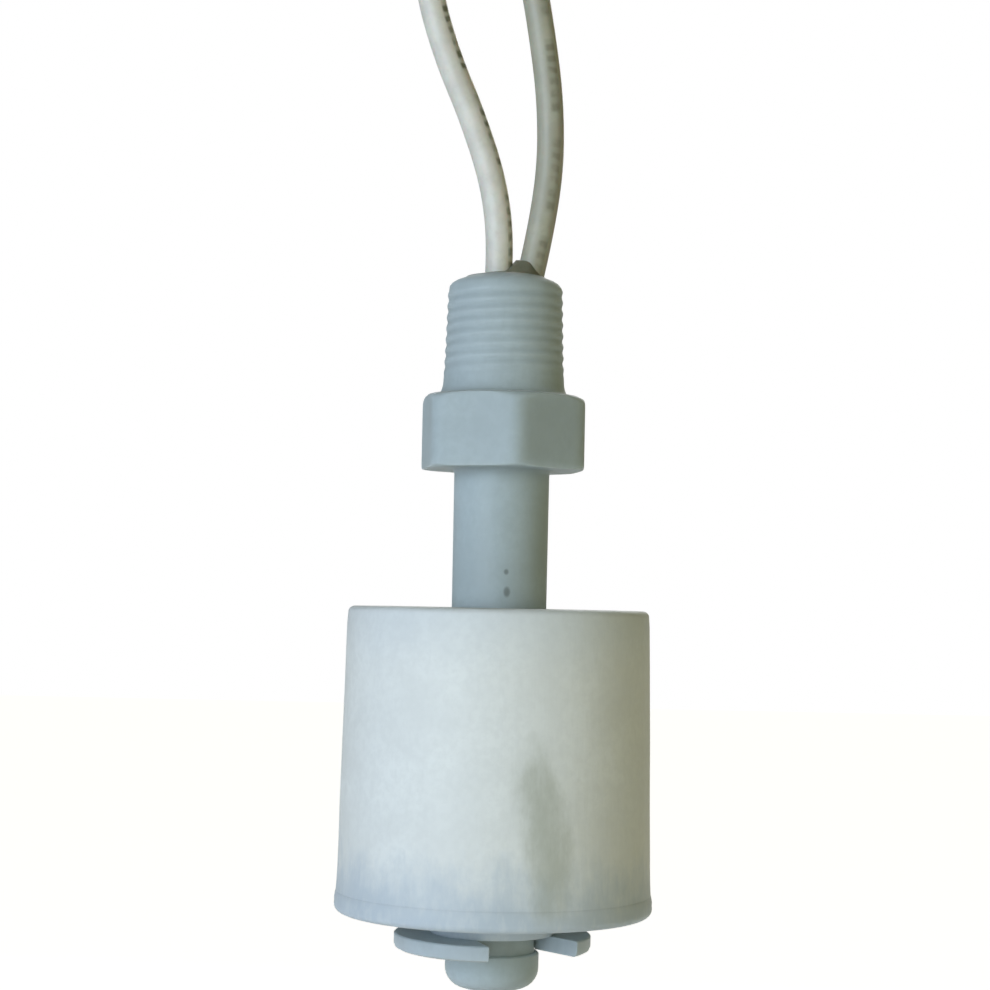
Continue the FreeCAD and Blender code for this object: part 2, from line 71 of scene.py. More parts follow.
# Fits between the moulded parts
GROOVE_DEPTH = 0.5 * MM
RUNNING_GAP = 0.5 * MM
TUBE_WALL = 1.0 * MM
MAGNET_CLEARANCE = 1.1 * MM

# Radius that the float gains from its top to its seam, and the weld's flare beside the seam
FLOAT_DRAFT = 0.45 * MM
WELD_FLARE = 0.07 * MM
FLOAT_SIDES = 160

# Heights between which the pipe thread is cut, and how far its roots run on into the crown
THREAD_FOOT = 0.9 * MM
THREAD_HEAD = NIPPLE_TOP - 1.15 * MM
THREAD_RUN_OUT = 0.7 * MM

# Steps of the crown at the nipple's top: in from the last crest, and up, in millimetres
CROWN_STEPS = ((0, 0), (0.1, 0.3), (0.32, 0.55), (0.68, 0.77), (1.1, 0.93), (1.4, 1.05))

# Routes of the leads up to the coil, in millimetres: the control points of the part's source, a few
# of them moved by up to 0.4 mm
LEFT_ROUTE = [(-1.15, 0.0, -6.0), (-1.15, 0.0, 2.2), (-0.44, -0.1, 11.2), (-1.0, -0.5, 17.0),
              (-3.05, -1.0, 23.0), (-5.4, -1.6, 28.2), (-7.15, -2.2, 34.0), (-7.6, -2.8, 41.5),
              (-8.9, -3.4, 49.5)]
RIGHT_ROUTE = [(1.4, 0.0, -1.0), (1.4, 0.0, 6.6), (2.83, 0.3, 13.4), (3.62, 0.6, 19.2),
               (3.5, 0.7, 24.8), (2.75, 0.6, 30.2), (1.6, 0.2, 36.3), (-2.0, -0.4, 43.2),
               (-5.6, -0.9, 49.0)]

# Coil of the leads' spare length
COIL_CENTRE = Vector((7.0, 0.0, 60.0)) * MM
COIL_MID_RADIUS = 14.0 * MM
COIL_PITCH = 2.4 * MM
COIL_TURNS_IN = 2.9
COIL_TURNS_ACROSS = 0.5
COIL_TURNS_OUT = 2.9
COIL_OUTER = COIL_MID_RADIUS + COIL_PITCH * COIL_TURNS_IN / 2
COIL_INNER = COIL_MID_RADIUS - COIL_PITCH * COIL_TURNS_IN / 2
POINTS_PER_TURN = 16
LEAD_TAIL = 14 * MM


def paint(red, green, blue):
    """Linear colour for a paint given in the usual 0 to 255 steps."""
    steps = [channel / 255 for channel in (red, green, blue)]
    return tuple(s / 12.92 if s <= 0.04045 else ((s + 0.055) / 1.055) ** 2.4 for s in steps)


def length_field(name, description, default):
    """A length in metres for a property group, with room for a third to three times a size."""
    low, high = (default / 3, default * 3) if default > 0 else (-1, 1)
    return bpy.props.FloatProperty(name=name, description=description, default=default, min=low,
                                   max=high, precision=5, subtype="DISTANCE", unit="LENGTH")


def angle_field(name, description, degrees):
    """An angle for a property group."""
    return bpy.props.FloatProperty(name=name, description=description,
                                   default=math.radians(degrees), subtype="ANGLE", unit="ROTATION")


def power_field(name, description, default):
    """A lamp's power in watts for a property group."""
    return bpy.props.FloatProperty(name=name, description=description, default=default, min=0,
                                   max=100, subtype="POWER", unit="POWER")


def colour_field(name, description, default):
    """A colour for a property group."""
    return bpy.props.FloatVectorProperty(name=name, description=description, default=default,
                                         size=3, min=0, max=1, subtype="COLOR")


class SwitchSizes(bpy.types.PropertyGroup):
    """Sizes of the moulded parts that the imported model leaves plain."""

    stem_radius: length_field("Stem Radius", "Radius of the stem under the hexagon", 4.0 * MM)
    stem_draft: length_field("Stem Draft", "Radius lost down to the closed end", 0.1 * MM)
    stem_end_round: length_field("Stem End Round", "Round at the stem's closed end", 1.7 * MM)
    thread_pitch: length_field("Thread Pitch", "Distance from crest to crest", 0.9407 * MM)
    thread_depth: length_field(
        "Thread Depth", "Height of the worn crests over the roots", 0.12 * MM)
    thread_radius: length_field("Thread Radius", "Radius over the crests at the foot", 5.08 * MM)
    thread_taper: bpy.props.FloatProperty(
        name="Thread Taper", description="Radius lost for each unit of height", default=1 / 32,
        min=0, max=0.2, precision=4)
    hex_flats: length_field("Hexagon Flats", "Width of the hexagon across its flats", 13.0 * MM)
    hex_height: length_field("Hexagon Height", "Height of the hexagon", 6.7 * MM)
    hex_turn: angle_field("Hexagon Turn", "Direction of one corner of the hexagon", 39.3)
    bore_radius: length_field("Stem Bore", "Radius of the blind bore for the reed switch", 2.6 * MM)
    mouth_radius: length_field("Mouth Radius", "Radius of the wide bore in the nipple", 3.25 * MM)
    float_wall: length_field("Float Wall", "Thickness of the float's outer wall", 1.2 * MM)
    clip_slot_turn: angle_field("Clip Slot Direction", "Direction in which the clip is open", -62.0)
    lead_diameter: length_field("Lead Diameter", "Diameter of each lead", 2.3 * MM)


class SwitchColours(bpy.types.PropertyGroup):
    """Colours of the plastics, the leads and the studio."""

    stem: colour_field("Stem", "Natural polypropylene of the threaded stem", paint(173, 186, 187))
    clip: colour_field("Clip", "Polypropylene of the retaining clip", paint(176, 188, 191))
    shell: colour_field("Float", "Milky polypropylene of the float", paint(223, 227, 222))
    # Weld band: bluish and frosted, and darker than the float, which is partly painted shade.
    weld: colour_field("Weld Band", "Bluish, frosted band at the weld", paint(184, 196, 202))
    # Darker olive patch on the float's front: painted shade.
    painted_shade_patch: colour_field("Painted_Shade", "Greenish stain on the float's front", paint(166, 171, 156))
    left_lead: colour_field("Left Lead", "Insulation of the left lead", paint(212, 211, 199))
    # Right lead: darker and more olive than the left lead, which is painted shade.
    right_lead: colour_field(
        "Right Lead", "Insulation of the right lead, darkened_by_painted_shade", paint(170, 170, 152))
    marking: colour_field("Lead Marking", "Faded ink of the dashes", paint(112, 114, 96))
    # Potting: partly the epoxy's own dark brown-grey, partly painted shade of the gap between the
    # leads.
    potting: colour_field("Potting", "Epoxy round the leads", paint(112, 112, 94))
    floor: colour_field("Floor", "Plain pale floor", (0.82, 0.82, 0.82))


class StudioSettings(bpy.types.PropertyGroup):
    """Camera and lamps."""

    distance: length_field("Camera Distance", "From the camera to the stem's axis", 190 * MM)
    eye_height: length_field("Eye Height", "Height of the camera", -18 * MM)
    aim_height: length_field("Aim Height", "Height at the middle of the view", -8.8 * MM)
    aim_side: length_field("Aim Side", "Sideways place of the middle of the view", -0.535 * MM)
    roll: angle_field("Roll", "Turn about the line of sight", 1.2)
    view_width: length_field("View Width", "Width seen at the stem's axis", 83.33 * MM)
    key_power: power_field("Key Lamp", "Power of the cool lamp on the left", 2.22)
    fill_power: power_field("Fill Lamp", "Power of the warm lamp on the right", 0.36)
    back_power: power_field("Back Lamp", "Power of the plain lamp behind", 1.0)
    floor_gap: length_field("Floor Gap", "Height of the switch over the floor", 110 * MM)


# ---------------- materials


def arithmetic(operation, reflected=False):
    """A method that stands for a Python operator: the Math node of that operation."""
    def method(self, other):
        terms = (other, self) if reflected else (self, other)
        return self.reckon(operation, *terms)
    return method


class Signal:
    """A socket in a material; Python arithmetic on it adds Math nodes."""

    def __init__(self, nodes, socket):
        self.nodes = nodes
        self.socket = socket

    def reckon(self, operation, *terms):
        """A Math node on those terms."""
        return self.nodes.add("ShaderNodeMath", {"operation": operation}, dict(enumerate(terms)))

    __add__ = arithmetic("ADD")
    __radd__ = arithmetic("ADD", reflected=True)
    __sub__ = arithmetic("SUBTRACT")
    __rsub__ = arithmetic("SUBTRACT", reflected=True)
    __mul__ = arithmetic("MULTIPLY")
    __rmul__ = arithmetic("MULTIPLY", reflected=True)
    __truediv__ = arithmetic("DIVIDE")
    __mod__ = arithmetic("FLOORED_MODULO")
    larger = arithmetic("MAXIMUM")

    def __abs__(self):
        return self.reckon("ABSOLUTE", self)

    def ramp(self, low, high):
        """0 below low, 1 above high and smooth between them; reversed where low is the larger."""
        span = self.nodes.add("ShaderNodeMapRange", {"interpolation_type": "SMOOTHSTEP"},
                               {0: self, 1: min(low, high), 2: max(low, high)})
        return span if low < high else 1 - span


class Nodes:
    """A node tree that is built up node by node."""

    def __init__(self, tree):
        self.tree = tree

    def add(self, kind, settings=None, inputs=None, output=0):
        """A node of that kind: its settings first, then its sockets, by name or number."""
        node = self.tree.nodes.new(kind)
        for name, value in (settings or {}).items():
            setattr(node, name, value)
        for name, value in (inputs or {}).items():
            if isinstance(value, Signal):
                self.tree.links.new(value.socket, node.inputs[name])
            else:
                node.inputs[name].default_value = value
        return Signal(self, node.outputs[output])

    def rays(self, first, *others):
        """1 for rays of those kinds and 0 for the rest."""
        found = self.add("ShaderNodeLightPath", output=first)
        for kind in others:
            found = found.larger(self.add("ShaderNodeLightPath", output=kind))
        return found

    def close(self, shader, output):
        """Feeds a shader to the tree's output node."""
        self.tree.links.new(shader.socket, self.tree.nodes[output].inputs["Surface"])


class Finish(Nodes):
    """A procedural material."""

    def __init__(self, name, roughness=0.5, **constants):
        self.material = bpy.data.materials.new(name)
        self.material.use_nodes = True
        super().__init__(self.material.node_tree)
        self.shader = self.tree.nodes["Principled BSDF"]
        self.shader.inputs["Roughness"].default_value = roughness
        for socket, value in constants.items():
            self.shader.inputs[socket.replace("_", " ")].default_value = value
        self.here = self.add("ShaderNodeTexCoord", output="Object")

    def link(self, socket, signal):
        """Feeds a signal to a socket of the shader."""
        self.tree.links.new(signal.socket, self.shader.inputs[socket])

    def axes(self, place=None):
        """The three numbers of a place, or of the point that is shaded, each as a signal."""
        return [self.add("ShaderNodeSeparateXYZ", None, {0: place or self.here}, axis)
                for axis in range(3)]

    def grain(self, scale, detail=3.0, roughness=0.55, distortion=0.0, drawn=None):
        """Noise between 0 and 1, scale features to the metre, drawn out on axes of small scale."""
        place = self.here
        if drawn:
            place = self.add("ShaderNodeMapping", None, {"Vector": place, "Scale": drawn})
        return self.add("ShaderNodeTexNoise", None, {
            "Vector": place, "Scale": scale, "Detail": detail, "Roughness": roughness,
            "Distortion": distortion})

    def blend(self, factor, first, second):
        """Mix of two colours, each a signal or a plain colour."""
        colours = [c if isinstance(c, Signal) else (*c[:3], 1.0) for c in (first, second)]
        return self.add("ShaderNodeMix", {"data_type": "RGBA"},
                        {0: factor, 6: colours[0], 7: colours[1]}, 2)

    def bump(self, height, depth):
        """Relief of that depth in metres from a height between 0 and 1."""
        self.link("Normal", self.add("ShaderNodeBump", None, {"Distance": depth, "Height": height}))

    def wear(self, tone, roughness, height, depth):
        """Links the colour, the roughness and the relief, and gives back the finish."""
        self.link("Base Color", tone)
        self.link("Roughness", roughness)
        self.bump(height, depth)
        return self

    def coat(self, *pieces):
        """Gives the material to pieces, in place of whatever they wore."""
        for piece in pieces:
            if not piece.material_slots:
                piece.data.materials.append(self.material)
            for held in piece.material_slots:
                held.material = self.material


def shade(colour, factor):
    """A colour made darker or lighter."""
    return tuple(min(1.0, channel * factor) for channel in colour[:3])


def moulded_plastic(name, colour, mottle, relief, roughness, milk, depth):
    """Milky moulded polypropylene with cloudy mottling and a faint skin of flow marks.

    Milk is the share of the light that goes below the surface, and depth how far it spreads."""
    finish = Finish(name, roughness, Subsurface_Weight=milk, Subsurface_Scale=depth, IOR=1.49)
    finish.shader.inputs["Subsurface Radius"].default_value = (1.0, 1.0, 1.0)
    clouds = finish.grain(160, 4, 0.6, 0.4)
    flow = finish.grain(1400, 2, drawn=(1, 1, 0.2))
    specks = finish.grain(1500, 3, 0.6)
    dull = shade(colour, 1 - 2 * mottle)
    tone = finish.blend(clouds.ramp(0.3, 0.7), shade(colour, 1 - mottle), shade(colour, 1 + mottle))
    tone = finish.blend(specks.ramp(0.35, 0.68) * 0.45, tone, dull)
    tone = finish.blend(flow.ramp(0.55, 0.75) * 0.25, tone, dull)
    finish.link("Roughness", roughness - 0.08 + clouds * 0.16)
    finish.bump(flow * 0.7 + clouds * 0.3, relief)
    return finish, tone, clouds


# Specks on the stem's front: place across and in height, half width and half height, in millimetres
STEM_SPECKS = ((0.52, -15.3, 0.22, 0.26), (0.6, -16.95, 0.3, 0.46))


def stem_finish(colours):
    """Bluish plastic of the stem, with two dark specks low on its front."""
    finish, tone, clouds = moulded_plastic(
        "stem_plastic", colours.stem, 0.05, 0.015 * MM, 0.6, 0.75, 2 * MM)
    x, y, z = finish.axes()
    marks = None
    for across, height, half_width, half_height in STEM_SPECKS:
        wide = (x - across * MM) / (half_width * MM)
        tall = (z - height * MM) / (half_height * MM)
        spot = (wide * wide + tall * tall + clouds * 0.6).ramp(1.7, 0.3) * y.ramp(0, -1 * MM)
        marks = spot if marks is None else marks.larger(spot)
    tone = finish.blend(marks * 0.55, tone, paint(74, 80, 72))
    finish.link("Base Color", tone)
    return finish


def float_finish(name, colours):
    """Milky float: frosted blue, partly painted shade, towards the weld, with streaks drawn up from
    it and painted shade on its front.
    """
    finish, tone, _ = moulded_plastic(
        name, colours.shell, 0.045, 0.03 * MM, 0.6, 0.15, 0.8 * MM)
    x, y, z = finish.axes()
    streaks = finish.grain(900, 4, 0.65, drawn=(1, 1, 0.4))
    wander = finish.grain(220, 3)
    # Band towards the weld: its frosting and streaks are the float's own, its darker tone towards
    # the bottom is partly painted shade.
    level = z - (streaks - 0.5) * (5 * MM) - (wander - 0.5) * (6 * MM)
    band = level.ramp(FLOAT_SEAM + 5 * MM, FLOAT_SEAM - 1.5 * MM)
    tone = finish.blend(band, tone, colours.weld)
    pale = (streaks * band).ramp(0.45, 0.66)
    tone = finish.blend(pale * 0.25, tone, shade(colours.shell, 0.98))
    # Painted shade: a darker olive patch right of the middle of the float's front, where the lit
    # side turns to the shaded side.
    across = (x - 3.9 * MM + (z + 36 * MM) * 0.12) / (2.1 * MM)
    along = (z + 36.2 * MM) / (7.5 * MM)
    cloud = finish.grain(420, 4, 0.65, drawn=(1, 1, 0.45))
    painted_shade_patch = (across * across + along * along + (cloud - 0.5) * 2.6).ramp(1.5, -0.3)
    tone = finish.blend(painted_shade_patch * y.ramp(-6 * MM, -9 * MM) * 0.72, tone, colours.painted_shade_patch)
    # The weld band's colour, with its share of painted shade, faintly over the top of the wall.
    crown = (z + (wander - 0.5) * (4 * MM)).ramp(FLOAT_TOP - 6 * MM, FLOAT_TOP)
    tone = finish.blend(crown * 0.3, tone, colours.weld)
    finish.link("Base Color", tone)
    return finish


def clip_finish(colours):
    """Plain plastic of the retaining clip, a little polished by the float."""
    finish, tone, _ = moulded_plastic(
        "clip_plastic", colours.clip, 0.05, 0.015 * MM, 0.55, 0.35, 1.2 * MM)
    finish.link("Base Color", tone)
    return finish


def lead_finish(name, colour, ink, row, strength):
    """PVC insulation with a faded row of generic dashes.

    The row lies that many degrees round from the front; strength is that of its ink."""
    finish = Finish(name, 0.45, Subsurface_Weight=0.3, Subsurface_Scale=1.2 * MM, IOR=1.52)
    laid = finish.add("ShaderNodeAttribute", {"attribute_name": "lead_place"}, None, "Vector")
    along, side, front = finish.axes(laid)
    clouds = finish.grain(420, 4, 0.6)
    grime = finish.grain(1600, 2)
    tone = finish.blend(clouds.ramp(0.35, 0.7), shade(colour, 0.92), shade(colour, 1.05))
    tone = finish.blend(grime.ramp(0.55, 0.8) * 0.25, tone, shade(colour, 0.72))
    turn = math.radians(row)
    near = side * math.sin(turn) + front * math.cos(turn)
    line = near.ramp(math.cos(math.radians(30)), math.cos(math.radians(14)))
    dash_pitch, group_pitch, unevenness = 1.05 * MM, 8.4 * MM, 0.9 * MM
    dash = abs((along + (clouds - 0.5) * unevenness) / dash_pitch % 1 - 0.5).ramp(0.42, 0.12)
    group = abs(along / group_pitch % 1 - 0.5).ramp(0.4, 0.36)
    smudge = line * group * 0.3
    marks = (line * dash * group * strength + smudge) * clouds.ramp(0.25, 0.6)
    tone = finish.blend(marks, tone, ink)
    return finish.wear(tone, 0.38 + clouds * 0.16, clouds * 0.6 + grime * 0.4, 0.02 * MM)


def potting_finish(epoxy):
    """Cloudy epoxy with small trapped bubbles."""
    finish = Finish("potting_resin", 0.3, Subsurface_Weight=0.2, Subsurface_Scale=0.6 * MM,
                    IOR=1.55)
    clouds = finish.grain(500, 3, 0.6)
    bubbles = finish.add("ShaderNodeTexVoronoi", None, {"Vector": finish.here, "Scale": 2200.0})
    pits = bubbles.ramp(0.22, 0.1)
    # The epoxy's colour is partly its own dark brown-grey and partly painted shade of the gap
    # between the leads.
    tone = finish.blend(clouds.ramp(0.35, 0.65), shade(epoxy, 0.85), shade(epoxy, 1.1))
    tone = finish.blend(pits * 0.4, tone, shade(epoxy, 0.6))
    return finish.wear(tone, 0.24 + clouds * 0.2, clouds - pits * 0.4, 0.04 * MM)


def ferrite_finish():
    """Dark sintered ferrite with bright grains and chalky wear."""
    finish = Finish("ferrite_ring", 0.6)
    grains = finish.grain(2600, 4, 0.7)
    chalk = finish.grain(260, 3)
    tone = finish.blend(grains.ramp(0.35, 0.7), paint(46, 46, 49), paint(78, 79, 84))
    tone = finish.blend(chalk.ramp(0.55, 0.75) * 0.25, tone, paint(120, 120, 122))
    finish.link("Metallic", grains.ramp(0.5, 0.8) * 0.35)
    return finish.wear(tone, 0.45 + chalk * 0.3, grains, 0.03 * MM)


def glass_finish():
    """Faintly green sealing glass with flow lines."""
    finish = Finish("sealing_glass", 0.06, Transmission_Weight=0.85, IOR=1.5)
    lines = finish.grain(1800, 2, drawn=(1, 1, 0.15))
    tone = finish.blend(lines, paint(190, 214, 200), paint(214, 230, 220))
    return finish.wear(tone, 0.03 + lines * 0.06, lines, 0.01 * MM)


def metal_finish(name, colour, roughness, scale, lay=None):
    """Drawn or cast metal with tarnish and the marks of its making."""
    finish = Finish(name, roughness, Metallic=1.0)
    marks = finish.grain(scale, 3, 0.6, drawn=lay)
    tarnish = finish.grain(700, 4, 0.6)
    tone = finish.blend(tarnish.ramp(0.4, 0.75) * 0.6, colour, shade(colour, 0.6))
    return finish.wear(tone, roughness - 0.08 + tarnish * 0.2 + marks * 0.06, marks, 0.015 * MM)


def strand_finish():
    """Tinned strands twisted together, seen as slanting ridges round the bare tip."""
    finish = Finish("tinned_strands", 0.34, Metallic=1.0)
    x, y, z = finish.axes()
    turn = y.reckon("ARCTAN2", y, x)
    ridges = ((z * 900 + x * 900 + turn * 1.1) % 1 - 0.5) * 2
    tarnish = finish.grain(900, 3)
    tone = finish.blend(tarnish.ramp(0.4, 0.7), paint(205, 203, 196), paint(168, 164, 154))
    return finish.wear(tone, 0.26 + tarnish * 0.2, 1 - ridges * ridges, 0.05 * MM)


def sleeve_finish(name, colour, roughness=0.5):
    """Soft sleeving with wrinkles drawn in by the heat."""
    finish = Finish(name, roughness)
    wrinkles = finish.grain(900, 3, 0.6, 0.6, drawn=(1, 1, 2.5))
    tone = finish.blend(wrinkles.ramp(0.35, 0.7), shade(colour, 0.8), shade(colour, 1.15))
    return finish.wear(tone, roughness - 0.08 + wrinkles * 0.2, wrinkles, 0.03 * MM)


def nylon_finish():
    """Natural nylon of the tie, glossy and slightly yellow, with fine cross ribs."""
    finish = Finish("tie_nylon", 0.35, Subsurface_Weight=0.25, Subsurface_Scale=0.6 * MM, IOR=1.53)
    x, y, _ = finish.axes()
    clouds = finish.grain(500, 3)
    ribs = abs((x + y) * 1400 % 1 - 0.5) * 2
    tone = finish.blend(clouds, paint(226, 225, 214), paint(238, 238, 231))
    return finish.wear(tone, 0.28 + clouds * 0.14, ribs * 0.6 + clouds * 0.4, 0.05 * MM)


# ---------------- modelling


def deselect():
    """Leaves edit mode and selects nothing."""
    if bpy.context.object and bpy.context.object.mode != "OBJECT":
        bpy.ops.object.mode_set(mode="OBJECT")
    bpy.ops.object.select_all(action="DESELECT")


def take(piece):
    """Makes one piece the only selected one."""
    deselect()
    piece.select_set(True)
    bpy.context.view_layer.objects.active = piece


def select_where(piece, test):
    """Selects the vertices that pass a test, in edit mode."""
    mesh = bmesh.from_edit_mesh(piece.data)
    mesh.select_mode = {"VERT"}
    for vertex in mesh.verts:
        vertex.select = test(vertex)
    mesh.select_flush(True)
    mesh.select_flush(False)
    bmesh.update_edit_mesh(piece.data)


def named(name):
    """The new active object, with its name and its place moved into its mesh."""
    piece = bpy.context.object
    if piece.mode != "OBJECT":
        bpy.ops.object.mode_set(mode="OBJECT")
    piece.name = name
    piece.data.name = name
    bpy.ops.object.transform_apply(location=True, rotation=True, scale=True)
    return piece


def placed(name, data):
    """A new object in the scene."""
    piece = bpy.data.objects.new(name, data)
    bpy.context.scene.collection.objects.link(piece)
    return piece


def block(name, size, place):
    """Box of that size about a place."""
    deselect()
    bpy.ops.mesh.primitive_cube_add(size=1, location=place)
    bpy.context.object.scale = size
    return named(name)


def turned(name, section, sides, ring=False):
    """Round solid drawn up ring by ring from (radius, height) points.

    A solid's first and last rings are filled in; a ring's are joined to each other."""
    deselect()
    radius, height = section[0]
    bpy.ops.mesh.primitive_circle_add(vertices=sides, radius=radius, location=(0, 0, height),
                                      enter_editmode=True)
    for next_radius, next_height in section[1:]:
        bpy.ops.mesh.extrude_region_move(
            TRANSFORM_OT_translate={"value": (0, 0, next_height - height)})
        growth = next_radius / radius
        bpy.ops.transform.resize(value=(growth, growth, 1), center_override=(0, 0, next_height))
        radius, height = next_radius, next_height
    piece = bpy.context.object
    last = len(section) * sides
    if ring:
        select_where(piece, lambda v: v.index < sides or v.index >= last - sides)
        bpy.ops.mesh.bridge_edge_loops()
    else:
        bpy.ops.mesh.edge_face_add()
        select_where(piece, lambda v: v.index < sides)
        bpy.ops.mesh.edge_face_add()
    bpy.ops.mesh.select_all(action="SELECT")
    bpy.ops.mesh.normals_make_consistent(inside=False)
    return named(name)


def arc(centre, radius, start, end, steps):
    """(radius, height) points round an arc, angles in degrees from straight out, upwards."""
    points = []
    for step in range(steps + 1):
        angle = math.radians(start + (end - start) * step / steps)
        points.append((centre[0] + radius * math.cos(angle), centre[1] + radius * math.sin(angle)))
    return points


def levels(low, high, count):
    """Evenly spaced heights between two, both left out."""
    return [low + (high - low) * step / (count + 1) for step in range(1, count + 1)]


def combine(piece, other, operation):
    """Cuts or joins another solid into a piece and deletes the other."""
    take(piece)
    modifier = piece.modifiers.new("combine", "BOOLEAN")
    modifier.operation = operation
    modifier.solver = "EXACT"
    modifier.object = other
    bpy.ops.object.modifier_apply(modifier=modifier.name)
    bpy.data.objects.remove(other)


def soften(piece, width, segments=3, angle=35):
    """Rounds a piece's sharp edges with an applied bevel."""
    take(piece)
    modifier = piece.modifiers.new("soften", "BEVEL")
    modifier.width = width
    modifier.segments = segments
    modifier.limit_method = "ANGLE"
    modifier.angle_limit = math.radians(angle)
    bpy.ops.object.modifier_apply(modifier=modifier.name)


def smooth(piece, angle=35):
    """Smooth shading that keeps the edges sharper than an angle."""
    take(piece)
    bpy.ops.object.shade_smooth_by_angle(angle=math.radians(angle))


def radius_of(vertex):
    """Distance from a vertex to the stem's axis."""
    return math.hypot(vertex.co.x, vertex.co.y)


def angle_of(vertex):
    """Direction of a vertex about the stem's axis."""
    return math.atan2(vertex.co.y, vertex.co.x)


def move_out(vertex, before, after):
    """Moves a vertex straight out or in, from one radius to another."""
    vertex.co.x *= after / before
    vertex.co.y *= after / before


def soft_minimum(first, second, blend):
    """The smaller of two values, with a round of about that size where they meet."""
    gap = abs(first - second) / blend
    return min(first, second) - blend * math.log1p(math.exp(-gap))


def dress(piece, body, slot, finish, *nodes):
    """Rides a finished piece on its body, in the place of its solids."""
    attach(piece, body)
    if nodes:
        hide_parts(*nodes)
    finish.coat(piece)


# ---------------- leads


def coil_point(angle, radius, depth):
    """Point on the coil; the angle turns from +X towards +Z."""
    turn = math.radians(angle)
    return COIL_CENTRE + Vector((radius * math.cos(turn), depth, radius * math.sin(turn)))


def coil_turns(entry, lead):
    """Control points of one lead's turns: in through the front layer, out through the back."""
    cut_inside = math.cos(math.pi / POINTS_PER_TURN)
    front = (lead - 1.5) * COIL_PITCH
    back = (lead + 0.5) * COIL_PITCH
    turns = COIL_TURNS_IN + COIL_TURNS_ACROSS + COIL_TURNS_OUT
    count = round(turns * POINTS_PER_TURN)
    points = []
    for index in range(count + 1):
        turn = turns * index / count
        inward = min(turn / COIL_TURNS_IN, 1)
        across = min(max((turn - COIL_TURNS_IN) / COIL_TURNS_ACROSS, 0), 1)
        outward = max((turn - COIL_TURNS_IN - COIL_TURNS_ACROSS) / COIL_TURNS_OUT, 0)
        radius = COIL_OUTER + (COIL_INNER - COIL_OUTER) * (inward - outward)
        depth = front + (back - front) * (3 * across ** 2 - 2 * across ** 3)
        points.append(coil_point(entry - 360 * turn, radius / cut_inside, depth))
    return points, entry - 360 * turns


def lead_tail(exit_angle, lead, length):
    """Control points of the straight free end."""
    turn = math.radians(exit_angle)
    heading = Vector((math.sin(turn), 0, -math.cos(turn)))
    start = coil_point(exit_angle, COIL_OUTER, (lead + 0.5) * COIL_PITCH)
    return [start + heading * length * share for share in (0.5, 1)]


def mark_places(piece, path, radius):
    """Stores where each point of a lead's skin lies: length along, to the side and to the front."""
    ring = len(piece.data.vertices) // len(path)
    lengths = [0.0]
    for before, after in zip(path, path[1:]):
        lengths.append(lengths[-1] + (after - before).length)
    places = []
    for index, vertex in enumerate(piece.data.vertices):
        step = min(index // ring, len(path) - 1)
        heading = (path[min(step + 1, len(path) - 1)] - path[max(step - 1, 0)]).normalized()
        front = Vector((0, -1, 0))
        front = (front - heading * front.dot(heading)).normalized()
        side = heading.cross(front)
        offset = (vertex.co - path[step]) / radius
        places += [lengths[step], offset.dot(side), offset.dot(front)]
    held = piece.data.attributes.new("lead_place", "FLOAT_VECTOR", "POINT")
    held.data.foreach_set("vector", places)


def wire(name, route, entry, lead, tail, diameter):
    """One lead from its splice to its stripped end: a round tube and the line along its middle."""
    turns, exit_angle = coil_turns(entry, lead)
    points = [Vector(point) * MM for point in route] + turns + lead_tail(exit_angle, lead, tail)
    curve = bpy.data.curves.new(name, "CURVE")
    curve.dimensions = "3D"
    curve.resolution_u = 8
    spline = curve.splines.new("NURBS")
    spline.points.add(len(points) - 1)
    for held, point in zip(spline.points, points):
        held.co = (*point, 1)
    spline.order_u = 3
    spline.use_endpoint_u = True
    piece = placed(name, curve)
    line = bpy.data.meshes.new_from_object(piece)
    path = [vertex.co.copy() for vertex in line.vertices]
    bpy.data.meshes.remove(line)
    curve.bevel_depth = diameter / 2
    curve.bevel_resolution = 6
    curve.use_fill_caps = True
    take(piece)
    bpy.ops.object.convert(target="MESH")
    piece = named(name)
    mark_places(piece, path, diameter / 2)
    smooth(piece, 60)
    return piece, path


class FLOATSWITCH_OT_leads(bpy.types.Operator):
    """Lay both leads from the nipple up to their coil"""

    bl_idname = "floatswitch.leads"
    bl_label = "Leads"

    def execute(self, context):
        sizes = context.scene.switch_sizes
        colours = context.scene.switch_colours
        nodes = frame["nodes"]
        strands = strand_finish()
        tie = nodes["coil_tie"]
        # Side, route, angle into the coil, layer, length, colour, dashes, pieces on it, solids
        rows = (("left", LEFT_ROUTE, 190, 0, 0.6215, colours.left_lead, (62, 0.7), [tie],
                 ["lead_coil"]),
                # The right lead's colour carries painted shade.
                ("right", RIGHT_ROUTE, 205, 1, 0.6145, colours.right_lead, (26, 0.4), [], []))
        for side, route, entry, lead, length, colour, dashes, extras, solids in rows:
            piece, path = wire(side + "_wire", route, entry, lead, LEAD_TAIL, sizes.lead_diameter)
            finish = lead_finish(side + "_insulation", colour, colours.marking, *dashes)
            dress(piece, "stem", "lead_insulation", finish, side + "_lead", *solids)
            tip = nodes[side + "_tip"]
            strands.coat(tip)
            exit_point = [axis * MM for axis in route[2][:2]] + [NIPPLE_TOP]
        nylon_finish().coat(tie)
        return {"FINISHED"}


# ---------------- stem


